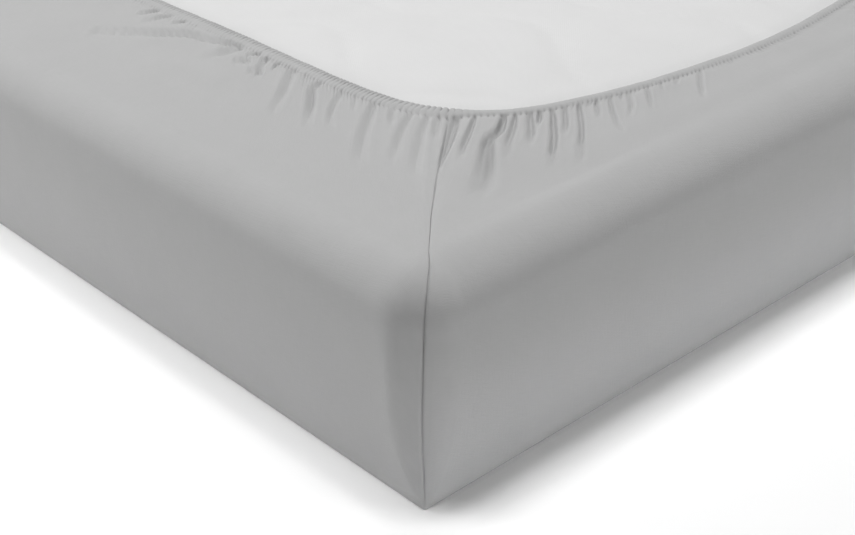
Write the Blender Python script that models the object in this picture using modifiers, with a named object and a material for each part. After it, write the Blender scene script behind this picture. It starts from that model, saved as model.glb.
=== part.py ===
"""A fitted sheet pulled over a plain single mattress that lies upside down.

The closed side of the sheet lies on the floor, its four walls run up the sides, and its gathered
hem lies on the upper side, round the part of the mattress that stays open. Metres, +Z up. The
origin is on the floor under the middle, and +X runs along the mattress.
"""
import math

import bmesh
import bpy

# Driving sizes of the covered mattress, measured over the cloth.
LENGTH = 2.000
WIDTH = 0.900
EDGE_HEIGHT = 0.160        # floor to the upper side, where the rounded edge ends
CROWN = 0.010              # how much the upper side still rises towards its middle
CROWN_REACH = 0.090        # way in from the rounded edge to half of that rise
CROWN_INSETS = (0.055, 0.080, 0.130, 0.200, 0.300)   # where the mattress's mesh follows it
EDGE_RADIUS = 0.033        # upper edges
FOOT_RADIUS = 0.004        # lower edges
CORNER_RADIUS = 0.036      # upright corners, at the upper edge
FOOT_CORNER_RADIUS = 0.010  # upright corners, at the floor, where the cloth stands off the foam
CORNER_FADE = 0.050        # how far along the wall that difference is felt

# The cloth, and its distance from the mattress.
CLOTH = 0.0015
FLOOR_GAP = 0.0003
SIDE_GAP = 0.0022
TOP_GAP = 0.0012
MATTRESS_RADIUS = 0.036    # upper edges and upright corners
MATTRESS_FOOT_SHARE = 0.5  # the lower edges' share of that radius
MATTRESS_RADIUS_STEPS = 4
SHARP = math.radians(60.0)

# The hem's route on the upper side: straight along the long wall, then an arc round the corner,
# then a wide arc that bows along the short wall.
HEM_INSET_LONG = 0.1705
HEM_INSET_SHORT = 0.095    # half way along the short wall
HEM_ARC_RADIUS = 0.097
HEM_ARC_TURN = math.radians(71.5)
SEAM_TURN = math.radians(33.0)   # how far round that arc the corner seam meets the hem
HEM_WIDTH = 0.014
HEM_HEIGHT = 0.0045
HEM_CREST = 0.4            # share of the hem's width from its inner edge to its crest
HEM_FOLD_SHARE = 0.5       # share of a fold's height that still lifts the crest

# How far from the corner the hem draws the cloth together, on each side.
GATHER_REACH = {"long": 0.30, "short": 0.12}

# Folds that fan out from the hem near a corner. Each row has its side, the distance of its ridge
# from the corner seam along the hem, its width from foot to foot, its height, and how much of the
# way to the rounded edge it reaches.
FOLD_COLUMNS = ("side", "along", "width", "height", "reach")
NEAR_CORNER_FOLDS = (
    ("long", 0.016, 0.011, 0.0035, 0.85),
    ("long", 0.034, 0.013, 0.0030, 0.60),
    ("long", 0.060, 0.014, 0.0045, 0.95),
    ("long", 0.084, 0.012, 0.0030, 0.70),
    ("long", 0.104, 0.013, 0.0045, 0.80),
    ("long", 0.139, 0.022, 0.0040, 0.85),
    ("long", 0.169, 0.012, 0.0030, 0.45),
    ("long", 0.205, 0.026, 0.0040, 0.75),
    ("long", 0.290, 0.060, 0.0035, 0.95),
    ("short", 0.010, 0.010, 0.0030, 0.70),
    ("short", 0.026, 0.012, 0.0050, 1.00),
    ("short", 0.041, 0.009, 0.0035, 0.75),
    ("short", 0.061, 0.013, 0.0040, 0.80),
    ("short", 0.076, 0.009, 0.0030, 0.95),
    ("short", 0.086, 0.009, 0.0045, 1.00),
    ("short", 0.098, 0.010, 0.0030, 0.60),
    ("short", 0.109, 0.010, 0.0040, 0.85),
    ("short", 0.125, 0.012, 0.0035, 0.70),
    ("short", 0.142, 0.012, 0.0030, 0.65),
    ("short", 0.190, 0.020, 0.0030, 0.85),
)
FAR_CORNER_FOLDS = (
    ("long", 0.020, 0.014, 0.0040, 0.90),
    ("long", 0.052, 0.018, 0.0040, 0.80),
    ("long", 0.098, 0.020, 0.0045, 0.90),
    ("long", 0.150, 0.028, 0.0035, 0.70),
    ("long", 0.260, 0.050, 0.0035, 0.85),
    ("short", 0.022, 0.014, 0.0045, 1.00),
    ("short", 0.060, 0.016, 0.0040, 0.85),
    ("short", 0.100, 0.016, 0.0040, 0.90),
    ("short", 0.155, 0.024, 0.0030, 0.75),
)
PLAIN_STATIONS = {"long": 0.110, "short": 0.080}   # widest step between columns of the mesh
LEAST_STEP = 0.0018
CORNER_STEPS = 3           # columns on each half of an upright corner's rounding

# Rows of the sheet's mesh: shares of the way from the hem to the rounded edge, then turns in
# degrees round the upper edge and round the lower one.
LIP_ROWS = (0.0, 0.14, 0.38, 0.68)
EDGE_TURNS = (0.0, 30.0, 60.0, 90.0)
FOOT_TURNS = (0.0, 45.0, 90.0)

# The corners in the order of a walk round the hem: the signs of X and Y, and the side that it
# comes from.
CORNERS = (
    (+1, -1, "long"),
    (+1, +1, "short"),
    (-1, +1, "long"),
    (-1, -1, "short"),
)
NEAR_CORNER = (+1, -1)

CLOTH_GREY = (0.48, 0.485, 0.49, 1.0)
COVER_WHITE = (0.78, 0.78, 0.77, 1.0)


# Plan of the hem and of the walls, for the corner at +X +Y.

def hem_sizes():
    """Where the hem's arcs start and end, worked out from its insets."""
    line_y = WIDTH / 2 - HEM_INSET_LONG
    bend_y = line_y - HEM_ARC_RADIUS * (1 - math.cos(HEM_ARC_TURN))
    wide_radius = bend_y / math.cos(HEM_ARC_TURN)
    wide_x = wide_radius * (1 - math.sin(HEM_ARC_TURN))
    bend_x = LENGTH / 2 - HEM_INSET_SHORT - wide_x
    start_x = bend_x - HEM_ARC_RADIUS * math.sin(HEM_ARC_TURN)
    return {"line_y": line_y, "start_x": start_x, "bend": (bend_x, bend_y), "wide": wide_radius}


HEM = hem_sizes()
HALF_HEM = {
    "long": HEM["start_x"] + HEM_ARC_RADIUS * SEAM_TURN,
    "short": (HEM_ARC_RADIUS * (HEM_ARC_TURN - SEAM_TURN)
              + HEM["wide"] * (math.pi / 2 - HEM_ARC_TURN)),
}
CORNER_ARC = CORNER_RADIUS * math.pi / 4
HALF_WALL = {
    "long": LENGTH / 2 - CORNER_RADIUS + CORNER_ARC,
    "short": WIDTH / 2 - CORNER_RADIUS + CORNER_ARC,
}


def hem_point(side, along):
    """Point and outward direction of the hem's inner edge, a distance along from the seam."""
    walked = HEM_ARC_RADIUS * SEAM_TURN + (along if side == "short" else -along)
    if walked < 0:
        return (HEM["start_x"] + walked, HEM["line_y"]), (0.0, 1.0)
    turn = walked / HEM_ARC_RADIUS
    if turn < HEM_ARC_TURN:
        x = HEM["start_x"] + HEM_ARC_RADIUS * math.sin(turn)
        y = HEM["line_y"] - HEM_ARC_RADIUS * (1 - math.cos(turn))
        return (x, y), (math.sin(turn), math.cos(turn))
    turn = HEM_ARC_TURN + (walked - HEM_ARC_RADIUS * HEM_ARC_TURN) / HEM["wide"]
    x = HEM["bend"][0] + HEM["wide"] * (math.sin(turn) - math.sin(HEM_ARC_TURN))
    y = HEM["bend"][1] - HEM["wide"] * (math.cos(HEM_ARC_TURN) - math.cos(turn))
    return (x, y), (math.sin(turn), math.cos(turn))


def wall_point(side, along, height=1.0):
    """Point and outward direction of the wall, a distance along from the upright corner.

    The height runs from 0 at the floor to 1 at the upper edge, and the corner is rounder there.
    """
    radius = FOOT_CORNER_RADIUS + (CORNER_RADIUS - FOOT_CORNER_RADIUS) * height
    turn = math.pi / 4 + min(along, CORNER_ARC) / CORNER_RADIUS * (1 if side == "long" else -1)
    normal = (math.cos(turn), math.sin(turn))
    straight = max(along - CORNER_ARC, 0.0)
    back = straight + (CORNER_RADIUS - radius) * (1 - math.exp(-straight / CORNER_FADE))
    x = LENGTH / 2 - radius + radius * normal[0] - (back if side == "long" else 0.0)
    y = WIDTH / 2 - radius + radius * normal[1] - (back if side == "short" else 0.0)
    return (x, y), normal


def wall_along(side, along_hem):
    """Where on the wall the cloth runs that is gathered at this place of the hem."""
    reach = GATHER_REACH[side]
    drawn = (1 - math.exp(-along_hem / reach)) / (1 - math.exp(-HALF_HEM[side] / reach))
    return along_hem + (HALF_WALL[side] - HALF_HEM[side]) * drawn


def hem_along(side, along_wall):
    """The reverse of wall_along, found by halving."""
    low, high = 0.0, HALF_HEM[side]
    for _ in range(40):
        middle = (low + high) / 2
        if wall_along(side, middle) < along_wall:
            low = middle
        else:
            high = middle
    return low


def upper_side(x, y):
    """Height of the cloth's outer face over a point of the plan, without its folds."""
    inset = min(LENGTH / 2 - abs(x), WIDTH / 2 - abs(y))
    rise = max(inset - EDGE_RADIUS, 0.0) / CROWN_REACH
    return EDGE_HEIGHT + CROWN * (1 - 1 / (1 + rise * rise))


# Folds and columns of the sheet's mesh.

def folds_at(corner):
    """The rows of the fold table that hold at this corner, as dictionaries."""
    rows = NEAR_CORNER_FOLDS if corner == NEAR_CORNER else FAR_CORNER_FOLDS
    return [dict(zip(FOLD_COLUMNS, row)) for row in rows]


def stations(corner, side):
    """Distances from the seam along the hem where the mesh has a column."""
    half = HALF_HEM[side]
    steps = math.ceil(half / PLAIN_STATIONS[side])
    ridges = [fold["along"] for fold in folds_at(corner) if fold["side"] == side]
    feet = []
    for fold in folds_at(corner):
        if fold["side"] == side:
            feet += [fold["along"] - fold["width"] / 2, fold["along"] + fold["width"] / 2]
    plain = [half * step / steps for step in range(1, steps)]
    rounding = [hem_along(side, CORNER_ARC * step / CORNER_STEPS)
                for step in range(1, CORNER_STEPS + 1)]
    kept = [0.0, half]
    for place in rounding + ridges + feet + plain:
        if all(abs(place - other) >= LEAST_STEP for other in kept):
            kept.append(place)
    return sorted(kept)


def fold_height(corner, side, along, share):
    """Height of the folds, a share of the way from the hem to the rounded edge."""
    height = 0.0
    for fold in folds_at(corner):
        if fold["side"] != side or share >= fold["reach"]:
            continue
        across = 1 - abs(along - fold["along"]) / (fold["width"] / 2)
        if across > 0:
            height += fold["height"] * across * (1 - share / fold["reach"])
    return height


def column(corner, side, along):
    """The sheet's outer face on one line from the hem over the edge down to the floor."""
    (hem_x, hem_y), (hem_nx, hem_ny) = hem_point(side, along)
    (wall_x, wall_y), (wall_nx, wall_ny) = wall_point(side, wall_along(side, along))
    lip_x = wall_x - wall_nx * EDGE_RADIUS
    lip_y = wall_y - wall_ny * EDGE_RADIUS
    base = upper_side(hem_x, hem_y)
    foot_x = hem_x + hem_nx * HEM_WIDTH
    foot_y = hem_y + hem_ny * HEM_WIDTH
    crest_x = hem_x + hem_nx * HEM_WIDTH * HEM_CREST
    crest_y = hem_y + hem_ny * HEM_WIDTH * HEM_CREST
    crest_z = base + HEM_HEIGHT + HEM_FOLD_SHARE * fold_height(corner, side, along, 0.0)
    points = [(hem_x, hem_y, base), (crest_x, crest_y, crest_z)]
    for share in LIP_ROWS:
        x = foot_x + (lip_x - foot_x) * share
        y = foot_y + (lip_y - foot_y) * share
        lift = fold_height(corner, side, along, share)
        points.append((x, y, upper_side(x, y) + lift))
    for turn in EDGE_TURNS:
        out = EDGE_RADIUS * math.sin(math.radians(turn))
        up = EDGE_RADIUS * math.cos(math.radians(turn))
        points.append((lip_x + wall_nx * out, lip_y + wall_ny * out, EDGE_HEIGHT - EDGE_RADIUS + up))
    (middle_x, middle_y), _ = wall_point(side, wall_along(side, along), 0.5)
    points.append((middle_x, middle_y, (EDGE_HEIGHT - EDGE_RADIUS + FOOT_RADIUS) / 2))
    (floor_x, floor_y), _ = wall_point(side, wall_along(side, along), 0.0)
    for turn in FOOT_TURNS:
        inwards = FOOT_RADIUS * (1 - math.cos(math.radians(turn)))
        up = FOOT_RADIUS * (1 - math.sin(math.radians(turn)))
        points.append((floor_x - wall_nx * inwards, floor_y - wall_ny * inwards, up))
    sign_x, sign_y = corner
    return [(sign_x * x, sign_y * y, z) for x, y, z in points]


def sheet_columns():
    """All columns, once round the hem. The last column of a side is the next side's first."""
    columns = []
    for sign_x, sign_y, first in CORNERS:
        second = "short" if first == "long" else "long"
        corner = (sign_x, sign_y)
        for along in reversed(stations(corner, first)[1:]):
            columns.append(column(corner, first, along))
        for along in stations(corner, second)[:-1]:
            columns.append(column(corner, second, along))
    return columns


# Objects.

def material(name, colour, roughness):
    """A plain matt finish."""
    finish = bpy.data.materials.new(name)
    finish.use_nodes = True
    shader = finish.node_tree.nodes["Principled BSDF"]
    shader.inputs["Base Color"].default_value = colour
    shader.inputs["Roughness"].default_value = roughness
    shader.inputs["Metallic"].default_value = 0.0
    finish.diffuse_color = colour
    return finish


def add_object(name, mesh_tool, finish, collection):
    """Turn a finished bmesh into an object with its faces pointing out."""
    mesh = bpy.data.meshes.new(name)
    bmesh.ops.recalc_face_normals(mesh_tool, faces=mesh_tool.faces)
    mesh_tool.to_mesh(mesh)
    mesh_tool.free()
    mesh.materials.append(finish)
    thing = bpy.data.objects.new(name, mesh)
    collection.objects.link(thing)
    return thing


def make_sheet(collection):
    """The sheet's outer face is a loft through its columns, closed by the panel on the floor."""
    tool = bmesh.new()
    rings = [[tool.verts.new(point) for point in points] for points in sheet_columns()]
    for index, ring in enumerate(rings):
        other = rings[(index + 1) % len(rings)]
        for row in range(len(ring) - 1):
            tool.faces.new((ring[row], ring[row + 1], other[row + 1], other[row]))
    tool.faces.new([ring[-1] for ring in rings])
    sheet = add_object("fitted_sheet", tool, material("grey_cloth", CLOTH_GREY, 0.9), collection)
    shell = sheet.modifiers.new("cloth_thickness", "SOLIDIFY")
    shell.thickness = CLOTH
    shell.offset = -1.0
    shell.use_even_offset = True
    return sheet


def make_mattress(collection):
    """A block with a crowned upper side and all its edges rounded."""
    inset = CLOTH + SIDE_GAP
    bottom = CLOTH + FLOOR_GAP
    top = EDGE_HEIGHT - CLOTH - TOP_GAP
    tool = bmesh.new()
    bmesh.ops.create_cube(tool, size=1.0)
    for vert in tool.verts:
        vert.co.x *= LENGTH - 2 * inset
        vert.co.y *= WIDTH - 2 * inset
        vert.co.z = top if vert.co.z > 0 else bottom
    for half, axis in ((LENGTH / 2, (1, 0, 0)), (WIDTH / 2, (0, 1, 0))):
        for crown_inset in CROWN_INSETS:
            for sign in (-1, 1):
                cut = sign * (half - crown_inset)
                bmesh.ops.bisect_plane(
                    tool, geom=tool.verts[:] + tool.edges[:] + tool.faces[:],
                    plane_co=(axis[0] * cut, axis[1] * cut, 0.0), plane_no=axis)
    for vert in tool.verts:
        if vert.co.z > (top + bottom) / 2:
            vert.co.z += upper_side(vert.co.x, vert.co.y) - EDGE_HEIGHT
    weight = tool.edges.layers.float.new("bevel_weight_edge")
    for edge in tool.edges:
        if edge.calc_face_angle() > SHARP:
            at_floor = all(vert.co.z < (top + bottom) / 2 for vert in edge.verts)
            edge[weight] = MATTRESS_FOOT_SHARE if at_floor else 1.0
    block = add_object("mattress", tool, material("white_cover", COVER_WHITE, 0.85), collection)
    rounding = block.modifiers.new("rounded_edges", "BEVEL")
    rounding.width = MATTRESS_RADIUS
    rounding.segments = MATTRESS_RADIUS_STEPS
    rounding.limit_method = "WEIGHT"
    rounding.use_clamp_overlap = False
    return block


def main():
    for thing in list(bpy.data.objects):
        bpy.data.objects.remove(thing, do_unlink=True)
    collection = bpy.data.collections.new("fitted_sheet_on_mattress")
    bpy.context.scene.collection.children.link(collection)
    make_mattress(collection)
    make_sheet(collection)


main()
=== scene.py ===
"""Looks of a grey fitted sheet that is pulled over a plain single mattress lying upside down.

The cloth is one thin sheet: a rolled and gathered hem, the lip with its creases, the rounded upper
edge, the walls with their corner seams, and the panel on the floor. Metres, +Z up; the tables of
folds are in millimetres. Columns of the cloth's mesh run from the hem to the floor, and are named
by their distance from the corner seam along the hem.
"""
import math

import bmesh
import bpy
import numpy as np
from bpy.props import FloatProperty, FloatVectorProperty, IntProperty, PointerProperty
from mathutils import Matrix, Vector


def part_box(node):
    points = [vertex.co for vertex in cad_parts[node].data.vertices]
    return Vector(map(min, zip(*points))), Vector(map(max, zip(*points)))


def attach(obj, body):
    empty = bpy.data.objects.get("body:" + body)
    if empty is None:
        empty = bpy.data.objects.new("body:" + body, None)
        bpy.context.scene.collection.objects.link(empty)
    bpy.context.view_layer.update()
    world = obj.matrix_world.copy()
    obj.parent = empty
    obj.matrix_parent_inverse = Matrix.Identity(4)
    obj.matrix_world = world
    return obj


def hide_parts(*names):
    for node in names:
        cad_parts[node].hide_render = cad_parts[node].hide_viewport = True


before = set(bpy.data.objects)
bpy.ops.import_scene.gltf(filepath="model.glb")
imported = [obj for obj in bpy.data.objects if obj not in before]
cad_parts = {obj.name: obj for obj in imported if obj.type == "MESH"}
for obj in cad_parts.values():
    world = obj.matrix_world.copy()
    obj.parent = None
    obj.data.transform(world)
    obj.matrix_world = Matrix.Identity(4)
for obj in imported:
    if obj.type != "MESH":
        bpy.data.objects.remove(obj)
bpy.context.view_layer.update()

bl_info = {
    "name": "Fitted sheet on a mattress",
    "version": (1, 0, 0),
    "blender": (4, 5, 0),
    "location": "3D view > Sidebar > Fitted sheet",
    "description": "Makes a gathered fitted sheet, the mattress that it covers and their stage",
    "category": "Object",
}

MM = 0.001

# Sizes of the covered mattress, over the cloth, from the frame.
SHEET_LOW, SHEET_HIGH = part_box("fitted_sheet")
BLOCK_LOW, BLOCK_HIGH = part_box("mattress")
LENGTH = SHEET_HIGH.x - SHEET_LOW.x
WIDTH = SHEET_HIGH.y - SHEET_LOW.y
EDGE_HEIGHT = 0.160          # floor to the upper side, where the rounded edge ends
CROWN = 0.010                # how much the upper side still rises towards its middle
CROWN_REACH = 0.090
EDGE_RADIUS = 0.033          # upper edges
FOOT_RADIUS = 0.0005         # lower edges
CORNER_RADIUS = 0.036        # upright corners, at the upper edge
FOOT_CORNER_RADIUS = 0.003   # upright corners, at the floor
FOOT_FLARE = 0.028           # height over which an upright corner turns sharp
CORNER_FADE = 0.050          # how far along a wall its columns shift as the corner turns sharp
UNDER_CLOTH = 0.0024         # how far a crease may sink before it meets the mattress

# The hem's route: straight along the long wall, a small arc round the corner, a wide arc along
# the short wall.
HEM_INSET_LONG = 0.1705
HEM_INSET_SHORT = 0.095
HEM_ARC_RADIUS = 0.097
HEM_ARC_TURN = math.radians(71.5)
SEAM_TURN = math.radians(33.0)

# The corners in the order of a walk round the hem: the signs of X and Y, the side that the walk
# comes from and the side that it goes on to.
CORNERS = (
    (+1, -1, "long", "short"),
    (+1, +1, "short", "long"),
    (-1, +1, "long", "short"),
    (-1, -1, "short", "long"),
)
NEAR_CORNER = 0              # the corner that the camera looks at

# How far outside its route the hem runs: its place along the hem from a corner seam, negative on
# the long side, and the distance, in millimetres.
HEM_STRAY = (
    (-280, 0.0), (-200, 1.2), (-155, 2.4), (-115, 3.8), (-80, 3.9), (-60, 2.4), (-45, 0.6),
    (-32, 0.8), (-20, 1.6), (-8, 2.6), (4, 1.2), (20, 0.1), (60, 0.2), (80, 1.1), (110, 0.9),
    (140, 1.2), (165, 0.2), (200, -0.6), (260, 0.0),
)

# How finely the cloth is meshed. A class is the closest detail that a stretch of hem gets: 0 at
# the near corner, 1 at the other corners, 2 half way along the walls.
FINE_REACH = 0.40            # from the near corner's seam
MEDIUM_REACH = 0.26          # from the other seams
RIB_PHASES = (
    (0.0, 0.12, 0.26, 0.5, 0.74, 0.88),
    (0.0, 0.16, 0.5, 0.84),
    (0.0, 0.5),
)
STEPS_AT_SEAM = 12           # columns of the first rib beside a seam
LIP_ROWS = 28
LIP_GROWTH = 1.4             # above 1, rows of the lip are closer together at the hem
EDGE_ROWS = 8
WALL_ROWS = 17
FOOT_ROWS = 1

# The gathers of the hem. A pair holds the limits between which a value is drawn at random.
RIB_UNEVEN = 0.16            # how much a rib's width varies, as a share
GAP_DEPTHS = (0.6, 1.0)      # shares of a rib's height
PIT_DEPTHS = (0.25, 1.0)     # shares of the deepest pit that a stitch makes
PUCKER_LENGTHS = (1.5, 8.0)  # of the cloth drawn in beside the stitches, in millimetres
PIT_REACH = 0.17             # width of a stitch's pit, as a share of a rib's
GAP_REACH = 0.12             # width of the gap between two ribs, as the same share
RIB_CHANGE = (0.18, 0.035, 3)   # how much their height varies, over how many metres, and a seed

# The hem's section: out from its inner edge, up from the upper side, and the share of a rib's
# height that stands there, with the least level of the columns that run through. Millimetres.
HEM_SECTION = (
    (14.0, -0.9, 0.0, 1),
    (7.0, -1.0, 0.0, 1),
    (3.9, 0.6, 0.3, 0),
    (4.5, 3.0, 0.6, 0),
    (6.2, 3.9, 1.0, 0),
    (8.8, 4.1, 0.9, 0),
    (11.2, 3.9, 0.1, 0),
    (13.4, 3.3, 0.05, 0),
    (15.6, 2.2, 0.1, 0),
)
HEM_CORE = (9.0, 1.2)        # the line that the hem is rolled round
GAPS_SHADED = (4.0, 6.4, 8.0, 11.4)   # where across the hem the painted shade in its gaps fades in and out again
HEM_EDGE = HEM_SECTION[2][0]    # its inner edge
STITCHES = HEM_SECTION[-1][0]   # where it is sewn down
SHORT_HEM = 0.66             # share of its width that the hem keeps on the short sides
SHORT_HEM_STARTS = (-0.006, 0.022)   # the places between which it turns to that
USUAL_HEM = 0.1              # distance from a seam where the hem has its usual width
STRAY_BLEND = 12             # how far to both sides the stray is evened out, in millimetres
CALM = (0.19, 0.24)          # distance from a seam over which the long sides' gathers turn calmer
RIB_LEAN = -0.2              # how far a rib shifts along the hem while it goes a unit outwards

# The cloth beside the hem: how far out from the stitches its puff grows and ends, and how high
# and how far it stands up at the stitches themselves.
PUFF_GROWS = (-0.004, 0.010)
PUFF_ENDS = (0.035, 0.12)
STITCHED_RISE, STITCHED_REACH = 1.7 * MM, 0.004

# Creases at the near corner, measured from the corner seam along the hem and out from the hem's
# inner edge. Positive depths sink and negative ones rise. Millimetres. The width is half of a
# crease's, and the end is the share of it that is left at the crease's far end.
CREASE_COLUMNS = ("side", "width", "end", "depth", "path")
CREASES = (
    ("long", 2.6, 0.9, 2.4, ((4, 22), (0, 48))),
    ("long", 3.0, 0.9, 2.4, ((11, 20), (4, 66), (0, 100))),
    ("long", 3.0, 0.9, 2.6, ((22, 18), (17, 47), (13, 68), (11, 85))),
    ("long", 2.6, 0.9, 2.0, ((37, 15), (26, 38))),
    ("long", 3.8, 0.9, 3.0, ((53, 15), (44, 31), (36, 49), (28, 72), (22, 92))),
    ("long", 3.0, 0.8, 1.2, ((72, 18), (52, 37))),
    ("long", 3.2, 0.9, 2.4, ((90, 16), (80, 29), (71, 41), (51, 61))),
    ("long", 4.2, 1.0, 4.2, ((113, 17), (108, 31), (91, 45), (68, 66))),
    ("long", 5.2, 1.0, 3.2, ((149, 17), (135, 32), (115, 55), (102, 72))),
    ("long", 2.4, 0.8, 6.2, ((167, 15), (165, 21), (161, 28))),
    ("long", 4.4, 0.9, 3.1, ((180.5, 20), (173.5, 30), (167.5, 39), (158, 46))),
    ("long", 2.4, 0.8, 6.2, ((161, 37.5), (167, 39), (175, 42.5))),
    ("long", 2.4, 0.9, 7.4, ((180, 14), (181, 18), (182.5, 22))),
    ("long", 3.0, 0.9, 12.0, ((194.5, 15), (195, 19), (198.5, 24))),
    ("long", 3.2, 1.0, 9.0, ((188, 31.5), (192.5, 33.5), (198, 37.5))),
    ("long", 7.5, 1.0, 4.4, ((218, 27), (223, 43))),
    ("long", 5.0, 1.5, 8.2, ((218, 17), (236, 22), (252, 25), (268, 28), (281, 34), (299, 46),
                             (345, 74))),
    ("long", 2.4, 1.0, 1.2, ((216, 21), (222, 15))),
    ("long", 2.4, 1.0, 6.6, ((226, 14), (237, 18))),
    ("long", 14.0, 1.0, -1.2, ((182, 68), (202, 68), (263, 79))),
    ("long", 16.0, 1.0, 1.0, ((155, 82), (255, 86))),
    ("long", 3.0, 1.0, 11.0, ((298, 14), (301, 18), (305, 23))),
    ("long", 4.6, 1.0, 5.2, ((320, 14), (325, 24.5), (330, 36))),
    ("long", 4.2, 1.0, 9.0, ((340, 11), (342, 18), (348, 28))),
    ("short", 4.6, 0.2, 6.6, ((6, 10), (7, 38), (7.4, 57), (7.4, 88))),
    ("short", 2.1, 0.9, 4.6, ((17.5, 15), (14.5, 56), (14, 74))),
    ("short", 2.7, 1.6, 10.0, ((36, 13), (31, 37), (25, 49), (24.5, 63), (24, 84), (22.5, 116))),
    ("short", 2.6, 0.8, 4.2, ((43, 13), (38, 34), (34, 52), (33, 68))),
    ("short", 3.2, 0.8, 4.8, ((52, 15), (47, 39), (43, 56))),
    ("short", 2.2, 0.8, 6.0, ((59.5, 12), (53, 30))),
    ("short", 2.4, 0.8, 5.8, ((68, 13), (60.5, 33), (50.5, 70), (48.5, 86))),
    ("short", 2.6, 0.8, 3.7, ((78, 13), (61.5, 48))),
    ("short", 2.7, 0.8, 4.2, ((89, 14), (78, 38), (64.5, 65), (59.5, 85))),
    ("short", 2.2, 0.8, 1.4, ((98, 12), (95, 20))),
    ("short", 2.8, 0.8, 2.7, ((103, 14), (93, 36))),
    ("short", 2.4, 0.8, 2.8, ((115, 13), (106, 31), (99.5, 47), (96, 62))),
    ("short", 2.2, 0.8, 1.8, ((124, 12), (121, 21))),
    ("short", 2.8, 0.8, 2.0, ((131, 13), (123, 30), (112, 45))),
    ("short", 2.8, 0.8, 2.2, ((148, 13), (136, 33), (131.5, 42))),
    ("short", 2.4, 0.8, 2.0, ((160, 12), (155, 23))),
    ("short", 2.4, 0.8, 1.9, ((176, 12), (168, 22))),
    ("short", 3.0, 0.8, 2.0, ((199, 12), (182, 32), (171, 48))),
)

CREASE_FOOT = 13             # where most creases start, out from the hem's inner edge
CLOSE_TO_HEM = 9             # a crease that starts this close to the stitches is led back to them
LEAD_SLANT = 0.6             # share of its slant that such a crease keeps on that way
TROUGH_POWER = 1.15          # above 1, a crease's sides are hollow
RIM_SHARE = 0.15             # height of the rims beside a crease, as a share of its depth
RIM_STOP = 1.6               # depth past which a crease's rims stand no higher, in millimetres
DEEPEST_PAINTED_SHADE = 0.35            # share of the colour kept where the painted shade in folds is full
STOPPED_SHADE = 90.0         # painted shade for each metre that the mattress keeps a crease from sinking

# The corner seam's sway towards the short wall, in millimetres. Its way down counts 0 at the
# stitches, 1 where the lip ends, 2 where the upright wall starts and 3 at the floor.
AT_LIP_END, AT_WALL_TOP, AT_FLOOR = 1.0, 2.0, 3.0
SEAM_SWAY = (
    (0.0, 1.4), (0.1, 2.4), (0.25, 2.9), (0.5, 3.0), (0.75, 4.8), (1.0, 8.5), (1.25, 8.2),
    (1.5, 7.2), (1.75, 6.0), (2.0, 4.6), (2.25, 2.6), (2.5, 0.2), (2.7, -0.6), (3.0, 0.2),
)
SWAY_REACH = 0.060           # how far beside the seam the cloth sways with it
SEAM_HALF = 0.9 * MM         # half the width of the line that a seam draws in
FOLD_WIDTH = 0.023           # of the flat strip beside the seam, which ends in a ridge
FOLD_RIDGE, FOLD_HOLLOW = 1.0 * MM, 0.9 * MM

# Unevenness of the cloth: its height in millimetres, how far apart its random heights lie, and
# their seed. Along the hem they lie some ribs apart, and elsewhere some metres.
ROLL_LUMPS = (0.25, 2.3, 5)          # on the rolled hem
SOFT_FOLDS = (0.55, 2.4, 11)         # on the lip, next to the stitches
WIDE_FOLDS = (0.9, 7.0, 13)          # on the lip, reaching further
LIP_SWELL = (0.6, 26.0, 0.06, 17)    # on the lip, along the hem and out from it
WALL_SWELL = (0.8, 0.16, 0.11, 19)   # on the walls, along them and up
SOFT_REACH, WIDE_REACH = 0.020, 0.055   # how far out the two kinds of folds reach
ROW_SHIFT = 17.0             # how far apart neighbouring rows of random heights are read

# The mattress. Its quilting's lines are counted from the one in sight, whose crest is here.
BLOCK_CUTS = 12              # up its sides, which don't show
BLOCK_GAP = 0.3 * MM         # left between it and the deepest creases
HEM_SWELL, MIDDLE_SWELL = 2.3 * MM, 1.5 * MM   # how far it swells at the hem and further in
QUILT_CREST = (0.751, -0.1325)
QUILT_LINES = range(-4, 5)

# The weave: its thicker places for each metre across and along the threads, and the shares of
# the crossing threads in its height and in its tone.
SLUB_ACROSS, SLUB_ALONG = 1600.0, 70.0
WEAVE_HEIGHT, WEAVE_TONE = 0.35, 0.12
COLOUR_A, COLOUR_B, COLOUR_OUT = 6, 7, 2   # the colour sockets of a mixing node

# Lights: the direction they stand in, seen from the near corner, as an angle in plan and a height
# angle, in degrees; the side of the square in metres; and the power in watts.
LIGHT_COLUMNS = ("name", "plan", "height", "size", "power")
LIGHTS = (
    ("key_light", -150.0, 78.0, 0.8, 64.8),
    ("high_back_light", 120.0, 83.0, 0.4, 31.8),
    ("back_light", 135.0, 72.0, 0.8, 22.1),
    ("left_light", -150.0, 15.0, 1.2, 49.7),
    ("low_front_light", -90.0, 10.0, 1.2, 6.2),
    ("low_right_light", 0.0, 3.0, 0.6, 16.7),
    ("right_light", 60.0, 15.0, 1.2, 14.0),
    ("high_right_light", 45.0, 40.0, 1.2, 16.2),
)
LIGHTS_AIM = (0.8, -0.2, 0.1)
LIGHTS_AWAY = 3.5

# Long low lights that shine level on the foot of a wall: the place, which way they face in plan,
# in degrees, the width, the height, the spread of the beam in degrees and the power.
STRIP_COLUMNS = ("name", "place", "facing", "width", "tall", "spread", "power")
STRIPS = (
    ("right_strip", (2.3, -0.1, 0.01), 180.0, 1.6, 0.02, 9.0, 0.103),
    ("left_strip", (0.4, -1.75, 0.02), 90.0, 1.8, 0.03, 14.0, 0.066),
    ("right_foot_strip", (1.3, -0.1, 0.004), 180.0, 1.6, 0.008, 4.0, 0.0046),
    ("left_foot_strip", (0.4, -0.75, 0.004), 90.0, 1.8, 0.008, 4.0, 0.0038),
)

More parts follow.
